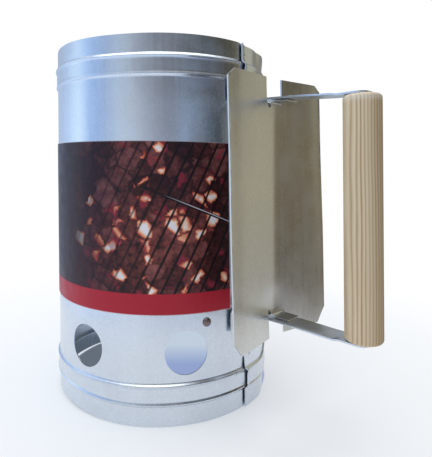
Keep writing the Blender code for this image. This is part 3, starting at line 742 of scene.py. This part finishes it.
def build_label():
    """Paper on the wall, its long edges lying close and its free corner a little proud."""
    paper = 0.00025
    bottom, top = LABEL_LOW.z, LABEL_HIGH.z

    def place(u, v):
        turned = LABEL_END - LABEL_SPAN * (1 - u)
        climb = (LABEL_TILT + LABEL_FLARE * v) * radians(LABEL_END - turned) * BODY_RADIUS
        height = bottom + v * (top - bottom) + climb
        corner = smooth_step(0.97, 1.0, u) * (0.0003 + 0.0004 * abs(2 * v - 1))
        ripple = 0.00010 * (1 + noise.noise(Vector((u * 26, v * 8, 0.4))))
        radius = BODY_RADIUS + 0.0003 + ripple + corner
        angle = radians(turned)
        return around(radius, angle, height)

    across = runs(0.0, (0.008, 0.95), (0.004, 1.0))
    mesh = grid_mesh("wrapped_label", across, spread(0.0, 1.0, 0.025), place)
    label = add_piece("wrapped_label", mesh, LABEL)
    solidify(label, paper, 1.0)
    freeze(label)
    shade(label)
    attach(label, "starter")
    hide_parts("paper_label")


# ---- straps, rivets, pegs and screws
FOOT_CENTRE = BODY_RADIUS + BODY_SHEET + LAP_AIR + GAP + STRAP_SHEET / 2
STRAP_BEND = 0.0026
JOG = 0.0009
JOG_START = GRIP_X - 0.0160
JOG_END = GRIP_X - 0.0125
STRAP_END = GRIP_X + 0.0048
SINK_RADIUS = 0.0037
END_ROUND = 0.0060
FOOT_EASE = 0.0008


def strap_line(upper):
    """Centre line of a strap as (distance, height, half width), from its foot's tip to its free end."""
    if upper:
        side, tip = 1, UPPER_HIGH.z
        end = UPPER_LOW.z + STRAP_SHEET / 2
        root, before_jog = tip - UPPER_FOOT, end + JOG
    else:
        side, tip = -1, LOWER_LOW.z
        root = before_jog = tip + LOWER_FOOT
        end = root + JOG
    line = [(FOOT_CENTRE, tip, FOOT_WIDTH / 2 - FOOT_EASE),
            (FOOT_CENTRE, tip - side * FOOT_EASE, FOOT_WIDTH / 2)]
    line += [(FOOT_CENTRE, tip + (root + side * STRAP_BEND - tip) * share, FOOT_WIDTH / 2)
             for share in (0.35, 0.7, 1.0)]
    for step in range(1, 9):
        turned = pi / 2 * step / 8
        narrowed = FOOT_WIDTH + (STRAP_WIDTH - FOOT_WIDTH) * smooth_step(0, 8, step)
        line.append((FOOT_CENTRE + STRAP_BEND * (1 - cos(turned)),
                     root + side * STRAP_BEND * (1 - sin(turned)), narrowed / 2))
    start = FOOT_CENTRE + STRAP_BEND
    for distance in spread(start, JOG_START - 0.0015, 0.006)[1:]:
        share = (distance - start) / (JOG_START - start)
        line.append((distance, root + (before_jog - root) * share, STRAP_WIDTH / 2))
    for distance in spread(JOG_START, JOG_END, 0.0006):
        share = smooth_step(JOG_START - 0.0008, JOG_END + 0.0008, distance)
        line.append((distance, before_jog + (end - before_jog) * share, STRAP_WIDTH / 2))
    line.append((GRIP_X - 0.0045, end, STRAP_WIDTH / 2))
    for angle in range(0, 91, 9):
        turned = radians(angle)
        line.append((STRAP_END - END_ROUND * (1 - sin(turned)), end,
                     STRAP_WIDTH / 2 - END_ROUND * (1 - cos(turned))))
    return line, end


def build_strap(name, upper):
    """A flat arm with rolled edges, its foot riveted on and its end let in for the screw's head."""
    line, end = strap_line(upper)

    def place(u, v):
        distance, height, half = line[int(v)]
        crown = 0.00010 * (1 - (2 * u - 1) ** 2)
        bow = 0.00018 * sin(distance * 95.0) * smooth_step(0.11, 0.13, distance)
        bow *= 1 - smooth_step(JOG_START - 0.012, JOG_START, distance)
        return AXIS_X + distance, (2 * u - 1) * half, height + crown + bow

    across = [0.0, 0.25, 0.5, 0.75, 1.0]
    strap = add_piece(name + "_plate", grid_mesh(name, across, range(len(line)), place), ZINC_STRAP)
    solidify(strap, STRAP_SHEET, 0.0)
    bm = bmesh.new()
    for index in (1, 2):
        drill(bm, RIVET_HOLE, 0.02, 24, along_x(middle(f"{name}_rivet_{index}")))
    side = 1 if upper else -1
    face = end + side * STRAP_SHEET / 2
    facing = Matrix.Rotation(0.0 if upper else pi, 4, "X")
    sink = Matrix.Translation((AXIS_X + GRIP_X, 0.0, face)) @ facing
    bmesh.ops.create_cone(bm, cap_ends=True, segments=32, depth=0.004, radius1=SINK_RADIUS - 0.0020,
                          radius2=SINK_RADIUS + 0.0020, matrix=sink)
    cutter = cut(strap, bm)
    bevel(strap, 0.00028, 2)
    freeze(strap, cutter)
    shade(strap, 40.0)
    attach(strap, "starter")
    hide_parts(name)


def build_rivets():
    """Domed heads outside, dimpled a little by the press, and flattened tails inside."""
    head_face = FOOT_CENTRE + STRAP_SHEET / 2 + GAP
    for name in RIVETS:
        low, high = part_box(name)
        tail = high.x - low.x - 0.0014
        profile = [(0.0, 0.00132), (0.0009, 0.00138), (0.0016, 0.00128), (0.0024, 0.00096),
                   (0.0030, 0.00056), (0.0033, 0.00022), (0.0034, 0.00006), (0.0033, 0.0), (0.0018, 0.0),
                   (0.0018, -tail + 0.0013), (0.0028, -tail + 0.0013), (0.0030, -tail + 0.0010),
                   (0.0025, -tail + 0.0002), (0.0022, -tail), (0.0, -tail)]
        place = along_x((AXIS_X + head_face, (low.y + high.y) / 2, (low.z + high.z) / 2))
        rivet = add_piece(name + "_dome", lathe_mesh(name, profile, 32, place), RIVET_STEEL)
        shade(rivet, 40.0)
        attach(rivet, "starter")
        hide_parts(name)


def build_pegs():
    """Blued pegs with a low domed head; the collar inside holds each one."""
    for index in range(PEG_COUNT):
        name = f"grate_peg_{index + 1}"
        base = BODY_RADIUS + GAP
        inside = -BODY_SHEET - 3.4 * GAP
        profile = [(0.0, 0.00148), (0.0008, 0.00146), (0.0016, 0.00132), (0.0023, 0.00104), (0.0029, 0.00066),
                   (0.0032, 0.00030), (0.0033, 0.00012), (0.0032, 0.0), (0.0017, 0.0), (0.0017, inside),
                   (0.0032, inside), (0.0033, inside - 0.0002), (0.0033, inside - 0.0010),
                   (0.0031, inside - 0.0012), (0.0017, inside - 0.0012), (0.0017, -0.0116),
                   (0.0014, -0.0119), (0.0, -0.0121)]
        place = radial(PEG_FIRST + PEG_PITCH * index, base, PEG_HEIGHT)
        peg = add_piece(name + "_pin", lathe_mesh(name, profile, 32, place), PEG_STEEL)
        shade(peg, 40.0)
        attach(peg, "starter")
        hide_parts(name)


def build_screws():
    """Countersunk cross-recess screws, one in each end of the grip, with rings for a thread."""
    crest, root, turn_length = 0.00175, 0.00135, 0.0005
    thread_start, thread_end, taper_start = 0.0060, 0.0035, 0.0085
    recess = (0.0040, 0.0009, 0.0022, 1.0)
    for name, upward in (("upper_grip_screw", True), ("lower_grip_screw", False)):
        low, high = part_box(name)
        length = high.z - low.z
        profile = [(0.0, 0.0), (0.0033, 0.0), (0.0034, -0.00010), (0.0033, -0.00035), (crest, -0.0018)]
        turns = [-depth for depth in spread(thread_start, length - thread_end, turn_length)]
        for step, height in enumerate(turns):
            thin = 1.0 - 0.45 * smooth_step(-length + taper_start, -length + thread_end, height)
            profile.append(((crest if step % 2 else root) * thin, height))
        profile.append((0.0, -length))
        facing = Matrix.Rotation(0.0 if upward else pi, 4, "X")
        place = Matrix.Translation((AXIS_X + GRIP_X, 0.0, high.z if upward else low.z)) @ facing
        screw = add_piece(name + "_threaded", lathe_mesh(name, profile, 32, place), SCREW_ZINC)
        for turned in (20.0, 110.0):     # one blade at a time: crossed in one cutter they empty the screw
            bm = bmesh.new()
            blade = place @ Matrix.Rotation(radians(turned), 4, "Z")
            blade = blade @ Matrix.Diagonal(recess)
            bmesh.ops.create_cube(bm, size=1.0, matrix=blade)
            freeze(screw, cut(screw, bm))
        shade(screw, 35.0)
        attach(screw, "starter")
        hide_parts(name)


WELDS = ((6.3, 0.0380), (6.3, 0.0096), (4.6, 0.2770))      # degrees from +X, and height


def build_welds():
    """Shallow spot welds that hold the lap together near its rims."""
    for index, (angle, height) in enumerate(WELDS, 1):
        profile = [(0.0, -0.00002), (0.0008, 0.0), (0.0013, 0.00010), (0.0017, 0.00014),
                   (0.0021, 0.00008), (0.0023, -0.00006), (0.0020, -0.0004), (0.0, -0.0004)]
        drawn = BODY_RADIUS + BODY_SHEET + LAP_AIR - pull_in(angle, height) + 0.0001
        place = radial(angle, drawn, height + rim_shift(angle, height))
        weld = add_piece(f"spot_weld_{index}", lathe_mesh("spot_weld", profile, 28, place), ZINC_BODY)
        shade(weld, 60.0)
        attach(weld, "starter")


# ---- grip
def build_grip():
    """A dowel with eased ends and a bore for each screw, its side wavering very slightly."""
    low, high = GRIP_LOW.z, GRIP_HIGH.z
    round_off = 0.0026
    bore, sink = 0.0021, 0.0034
    depth = 0.0272
    waver = 0.00005
    outer = [(sink, high)] + arc((GRIP_RADIUS - round_off, high - round_off), round_off, 90, 0, 8)
    side = spread(low + round_off, high - round_off, 0.0045)[1:-1]
    outer += [(GRIP_RADIUS, z) for z in reversed(side)]
    outer += arc((GRIP_RADIUS - round_off, low + round_off), round_off, 0, -90, 8) + [(sink, low)]
    profile = [(0.0, high - depth), (bore, high - depth + 0.002), (bore, high - sink + bore)]
    profile += outer + [(bore, low + sink - bore), (bore, low + depth - 0.002), (0.0, low + depth)]
    place = Matrix.Translation((AXIS_X + GRIP_X, 0.0, 0.0))
    mesh = lathe_mesh("handle_grip", profile, 144, place)
    for vertex in mesh.vertices:
        x, y = vertex.co.x - AXIS_X - GRIP_X, vertex.co.y
        reach = hypot(x, y)
        if reach < GRIP_RADIUS * 0.6:
            continue
        bow = noise.noise(Vector((x * 90, y * 90, vertex.co.z * 9)))
        scale = 1 + (waver * bow - waver) / reach
        vertex.co.x = AXIS_X + GRIP_X + x * scale
        vertex.co.y = y * scale
    grip = add_piece("turned_grip", mesh, WOOD)
    shade(grip, 40.0)
    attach(grip, "grip")
    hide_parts("handle_grip")


# ---- heat shield
SHIELD_BOTTOM, SHIELD_TOP = SHIELD_LOW.z, SHIELD_HIGH.z
NOTCH_HALF = STRAP_WIDTH / 2 + 0.0004
TONGUE_SHEET = 0.0010
TONGUE_BEND = 0.0020
TONGUE_AIR = 0.0001
TONGUE_REACH = 0.0145
UPPER_FLOOR = UPPER_HIGH.z - 0.0218
LOWER_FLOOR = LOWER_LOW.z + LOWER_FOOT + STRAP_SHEET / 2 + GAP + TONGUE_SHEET / 2 + TONGUE_BEND


def shield_face(side, height):
    """The shield's mid-face: a vee with a soft, slightly wandering crease, dented by its notches."""
    share = (height - SHIELD_BOTTOM) / (SHIELD_TOP - SHIELD_BOTTOM)
    fold = radians(10.0 - 4.0 * share)
    crease = 0.0006 * sin(height * 31.0)
    run = hypot(side - crease, 0.0030) - 0.0030
    near_low = exp(-((height - LOWER_FLOOR - 0.006) / 0.012) ** 2 - ((side + 0.004) / 0.013) ** 2)
    near_high = exp(-((height - UPPER_FLOOR + 0.004) / 0.009) ** 2 - (side / 0.016) ** 2)
    warp = noise.noise(Vector((side * 22, height * 18, 2.0))) * 0.00035
    curl = 0.0006 * smooth_step(0.040, 0.0528, abs(side))
    return SHIELD_DISTANCE + run * tan(fold) - 0.0011 * near_low + 0.0006 * near_high + warp - curl


def shield_outline():
    half = SHIELD_HALF_WIDTH
    return [
        (-half, SHIELD_BOTTOM + 0.0093), (-half + 0.0084, SHIELD_BOTTOM), (-NOTCH_HALF, SHIELD_BOTTOM),
        (-NOTCH_HALF - 0.0002, LOWER_FLOOR + 0.0016), (-NOTCH_HALF + 0.0008, LOWER_FLOOR + 0.0034),
        (-NOTCH_HALF + 0.0022, LOWER_FLOOR + 0.0030), (-NOTCH_HALF + 0.0044, LOWER_FLOOR + 0.0002),
        (NOTCH_HALF - 0.0010, LOWER_FLOOR),
        (NOTCH_HALF, LOWER_FLOOR - 0.0006), (NOTCH_HALF, SHIELD_BOTTOM),
        (half - 0.0084, SHIELD_BOTTOM), (half, SHIELD_BOTTOM + 0.0110), (half, SHIELD_TOP - 0.0045),
        (half - 0.0059, SHIELD_TOP), (NOTCH_HALF, SHIELD_TOP), (NOTCH_HALF, UPPER_FLOOR + 0.0006),
        (NOTCH_HALF - 0.0010, UPPER_FLOOR), (-NOTCH_HALF + 0.0050, UPPER_FLOOR),
        (-NOTCH_HALF + 0.0036, UPPER_FLOOR - 0.0024), (-NOTCH_HALF + 0.0020, UPPER_FLOOR - 0.0026),
        (-NOTCH_HALF, UPPER_FLOOR + 0.0004),
        (-NOTCH_HALF, SHIELD_TOP), (-half + 0.0071, SHIELD_TOP), (-half, SHIELD_TOP - 0.0054),
    ]


def prism(name, outline, near, far):
    """A closed block over an outline of (side, height), from one distance to another along +X."""
    bm = bmesh.new()
    front = [bm.verts.new((AXIS_X + near, side, height)) for side, height in outline]
    back = [bm.verts.new((AXIS_X + far, side, height)) for side, height in outline]
    bm.faces.new(front)
    bm.faces.new(list(reversed(back)))
    count = len(outline)
    for index in range(count):
        following = (index + 1) % count
        bm.faces.new((front[index], back[index], back[following], front[following]))
    bmesh.ops.recalc_face_normals(bm, faces=bm.faces)
    return helper_from(name, bm)


def flap(name, floor, side, level, end_level, length, edges):
    """A tongue that leaves the shield at a notch, curls over and lies along the strap."""
    bend = TONGUE_BEND
    start = SHIELD_DISTANCE + 0.0001
    line = [(start, floor - side * 0.0016)]
    for step in range(7):
        turned = pi / 2 * step / 6
        line.append((start + bend * (1 - cos(turned)), level - side * bend * (1 - sin(turned))))
    for distance in spread(bend, length, 0.0015)[1:]:
        share = (distance - bend) / (length - bend)
        sag = side * 0.0003 * share * (1 - share)
        line.append((start + distance, level + (end_level - level) * share - sag))

    def place(u, v):
        distance, height = line[int(v)]
        return AXIS_X + distance, edges[0] + (edges[1] - edges[0]) * u, height

    piece = add_piece(name, grid_mesh(name, [0.0, 0.5, 1.0], range(len(line)), place), ZINC_SHIELD)
    solidify(piece, TONGUE_SHEET, 0.0)
    return piece


def build_shaded_notch_folds():
    """The metal crushed into the near corner of each notch, in dark steel as painted shade for the shadow
    there.
    """
    left, right = -NOTCH_HALF - 0.0004, -NOTCH_HALF + 0.0052
    upper = [(left, UPPER_FLOOR + 0.0016), (left + 0.0014, UPPER_FLOOR - 0.0022),
             (left + 0.0036, UPPER_FLOOR - 0.0034), (right, UPPER_FLOOR - 0.0026),
             (right, UPPER_FLOOR + 0.0004)]
    lower = [(left, LOWER_FLOOR - 0.0008), (right, LOWER_FLOOR - 0.0012), (right, LOWER_FLOOR + 0.0012),
             (left + 0.0034, LOWER_FLOOR + 0.0040), (left + 0.0010, LOWER_FLOOR + 0.0042)]
    for name, shift, outline in (("upper_notch_fold_shade", 0.0, upper), ("lower_notch_fold_shade", -0.0009, lower)):
        near = SHIELD_DISTANCE + shift
        fold = prism(name, outline, near - 0.0005, near + 0.0003)
        # the dark grate steel paints the shade in the notch's corner
        fold.data.materials.append(GRATE_STEEL)
        bevel(fold, 0.0002, 2)
        freeze(fold)
        shade(fold)
        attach(fold, "starter")


def build_shield():
    """A creased sheet hung on the straps by the tongues cut from its two notches."""
    margin = 0.006
    sides = runs(-SHIELD_HALF_WIDTH - margin, (0.0040, -0.012), (0.0012, 0.012),
                 (0.0040, SHIELD_HALF_WIDTH + margin))
    heights = spread(SHIELD_BOTTOM - margin, SHIELD_TOP + margin, 0.0040)

    def place(side, height):
        return AXIS_X + shield_face(side, height), side, height

    shield = add_piece("folded_shield", grid_mesh("folded_shield", sides, heights, place), ZINC_SHIELD)
    solidify(shield, SHIELD_SHEET, 0.0)
    blank = prism("shield_blank", shield_outline(), SHIELD_DISTANCE - 0.02, SHIELD_DISTANCE + 0.03)
    boolean(shield, blank, "INTERSECT")
    freeze(shield, blank)
    slope = 0.0060 / (JOG_START - FOOT_CENTRE - STRAP_BEND)
    fall = slope * (SHIELD_DISTANCE - FOOT_CENTRE - STRAP_BEND)
    arm_low = UPPER_HIGH.z - UPPER_FOOT - STRAP_SHEET / 2 - fall
    level = arm_low - GAP - TONGUE_SHEET / 2 - TONGUE_AIR
    edges = (-NOTCH_HALF + 0.0046, NOTCH_HALF - 0.0004)
    upper = flap("upper_tongue", UPPER_FLOOR, 1, level - slope * TONGUE_BEND,
                 level - slope * TONGUE_REACH, TONGUE_REACH, edges)
    arm_top = LOWER_LOW.z + LOWER_FOOT + STRAP_SHEET / 2
    low_level = arm_top + GAP + TONGUE_SHEET / 2 + TONGUE_AIR
    lower = flap("lower_tongue", LOWER_FLOOR, -1, low_level, low_level, TONGUE_REACH, edges)
    build_shaded_notch_folds()
    boolean(shield, upper, "UNION")
    boolean(shield, lower, "UNION")
    bevel(shield, 0.00022, 2, 60.0)
    freeze(shield, upper, lower)
    shade(shield, 40.0)
    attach(shield, "starter")
    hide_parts("heat_shield")


build_body()
build_grate()
build_label()
build_strap("upper_strap", True)
build_strap("lower_strap", False)
build_rivets()
build_pegs()
build_screws()
build_welds()
build_grip()
build_shield()


# ---- floor, light and camera
FLOOR_RADIUS = 0.46
FLOOR_FADE = (0.24, 0.43)    # from full to nothing, in metres from the chimney's axis


def build_floor():
    """A pale sheet that fades into the white behind; it glows a little, so shadows on it stay soft."""
    mesh = bpy.data.meshes.new("floor")
    bm = bmesh.new()
    bmesh.ops.create_circle(bm, cap_ends=True, segments=96, radius=FLOOR_RADIUS)
    bm.to_mesh(mesh)
    bm.free()
    material, nodes, shader = start_material("pale_floor", Roughness=0.6)
    shader.inputs["Emission Strength"].default_value = 0.50
    shader.inputs["Specular IOR Level"].default_value = 0.2
    raw = nodes.add("ShaderNodeTexCoord").outputs["Object"]
    x, y, _ = nodes.split(raw)
    distance = nodes.hypot(x, y)
    limits = {"From Min": FLOOR_FADE[0], "From Max": FLOOR_FADE[1], "To Min": 1.0, "To Max": 0.0}
    fade = nodes.add("ShaderNodeMapRange", {"Value": distance, **limits},
                     interpolation_type="SMOOTHSTEP").outputs["Result"]
    nodes.feed(shader.inputs["Alpha"], fade)
    # painted light and shade: inside the chimney the floor's glow and colour stand in for the little light
    # that comes down through the grate, most of it on one side
    within = nodes.span(distance, 0.0915, 0.0925, 1.0, 0.0)
    side = nodes.times_add(y, 0.74, nodes.times(x, 0.67))
    depth = nodes.times_add(y, 0.67, nodes.times(x, -0.74))
    cool = nodes.mix(nodes.span(depth, 0.005, 0.050), colour((0.50, 0.66, 1.15)), colour((0.98, 1.15, 1.36)))
    cool = nodes.mix(nodes.span(side, -0.050, -0.012, 1.0, 0.0), cool, colour((0.20, 0.25, 0.32)))
    nodes.feed(shader.inputs["Emission Color"], nodes.mix(within, colour((0.84, 0.90, 1.0)), cool))
    nodes.feed(shader.inputs["Base Color"], nodes.mix(within, colour((0.52, 0.50, 0.46)), colour(0.14)))
    floor = link("floor", mesh)
    floor.location = (AXIS_X, 0.0, -0.0004)
    floor.data.materials.append(material)


# light from each direction, in degrees from +X, as a zinc sheet shows it: level, from above and below
ROOM = (
    (-180, 170, 184, 206), (-152, 184, 206, 238), (-141, 222, 242, 255), (-133, 222, 242, 255),
    (-122, 158, 186, 230), (-106, 150, 172, 208), (-82, 192, 204, 216), (-66, 182, 190, 200),
    (-46, 146, 150, 160), (-24, 122, 128, 142), (-19, 150, 168, 194), (-4, 140, 154, 180),
    (10, 112, 124, 150), (24, 90, 94, 104), (34, 108, 98, 76), (48, 112, 103, 82),
    (55, 142, 136, 119), (61, 170, 165, 146), (78, 170, 165, 146), (95, 112, 108, 94),
    (120, 140, 144, 150), (150, 160, 170, 186), (180, 170, 184, 206),
)
UPPER_ROOM = (
    (-180, 160, 172, 190), (-152, 176, 196, 222), (-137, 206, 226, 246), (-122, 160, 190, 230),
    (-100, 148, 166, 196), (-82, 172, 184, 194), (-66, 150, 156, 166), (-46, 118, 121, 128),
    (-26, 104, 105, 108), (-18, 76, 76, 70), (2, 70, 70, 60), (22, 56, 54, 42),
    (45, 68, 64, 50), (56, 130, 127, 112), (64, 170, 166, 148), (78, 170, 166, 148),
    (95, 112, 108, 94), (120, 130, 132, 134), (150, 150, 160, 176), (180, 160, 172, 190),
)
LOWER_ROOM = (
    (-180, 190, 205, 228), (-120, 200, 216, 240), (-60, 190, 204, 222), (0, 170, 184, 206),
    (24, 108, 104, 98), (46, 96, 90, 80), (58, 140, 136, 128), (70, 160, 160, 158),
    (110, 150, 154, 160), (180, 190, 205, 228),
)


ZINC_SHARE = 0.70


def room_ramp(nodes, turn, room):
    """A room's light round the compass, made up for the share that the zinc takes."""
    stops = [((bearing + 180) / 360, tuple(channel / ZINC_SHARE for channel in screen(*tint)))
             for bearing, *tint in room]
    return nodes.ramp(turn, stops)


def build_world():
    """A soft room: cool window light from the left, a dim warm side on the right, white behind."""
    world = bpy.data.worlds.new("studio")
    world.use_nodes = True
    bpy.context.scene.world = world
    nodes = Nodes(world.node_tree)
    direction = nodes.add("ShaderNodeTexCoord").outputs["Generated"]
    x, y, rise = nodes.split(direction)
    turn = nodes.span(nodes.math("ARCTAN2", y, x), -pi, pi)
    level = room_ramp(nodes, turn, ROOM)
    above = nodes.mix(nodes.span(rise, 0.165, 0.205), level, room_ramp(nodes, turn, UPPER_ROOM))
    lit_top = nodes.mix(nodes.span(rise, 0.45, 0.95), above, colour((0.85, 0.88, 0.93)))
    room = nodes.mix(nodes.span(rise, -0.12, -0.30), lit_top, room_ramp(nodes, turn, LOWER_ROOM))
    seen = nodes.add("ShaderNodeLightPath").outputs["Is Camera Ray"]
    background = nodes.add("ShaderNodeBackground", {"Color": nodes.mix(seen, room, colour(1.0))})
    output = nodes.add("ShaderNodeOutputWorld")
    nodes.feed(output.inputs["Surface"], background.outputs[0])


def add_light(name, position, target, size, power, tint):
    light = bpy.data.lights.new(name, "AREA")
    light.shape = "RECTANGLE"
    light.size, light.size_y = size
    light.energy = power
    light.color = tint
    lamp = link(name, light)
    lamp.location = position
    direction = Vector(target) - Vector(position)
    lamp.rotation_euler = direction.to_track_quat("-Z", "Y").to_euler()


LENS = 33.219256             # millimetres, on a sensor 36 mm wide
SHIFT = (0.0527352, -0.1238512)      # shares of the frame's longer side
EYE = (0.31246, -0.24716, 0.18515)   # from the chimney's axis
LOOK = (-0.7408, 0.6717)
PITCH, ROLL = radians(0.217), radians(-0.518)


def build_camera():
    camera = bpy.data.cameras.new("camera")
    camera.sensor_width = 36.0
    camera.lens = LENS
    camera.shift_x, camera.shift_y = SHIFT
    camera.clip_start = 0.01
    camera.clip_end = 20.0
    viewer = link("camera", camera)
    viewer.location = (EYE[0] + AXIS_X, EYE[1], EYE[2])
    look = Vector((LOOK[0] * cos(PITCH), LOOK[1] * cos(PITCH), -sin(PITCH)))
    facing = look.to_track_quat("-Z", "Y").to_matrix().to_4x4()
    roll = Matrix.Rotation(ROLL, 4, "Z")
    viewer.rotation_euler = (facing @ roll).to_euler()
    bpy.context.scene.camera = viewer


build_floor()
build_world()
add_light("overhead", (0.0, -0.1, 1.5), (0, 0, 0.1), (1.6, 1.6), 13.0, (1.0, 1.0, 1.0))
build_camera()
bpy.context.scene.view_settings.view_transform = "Standard"
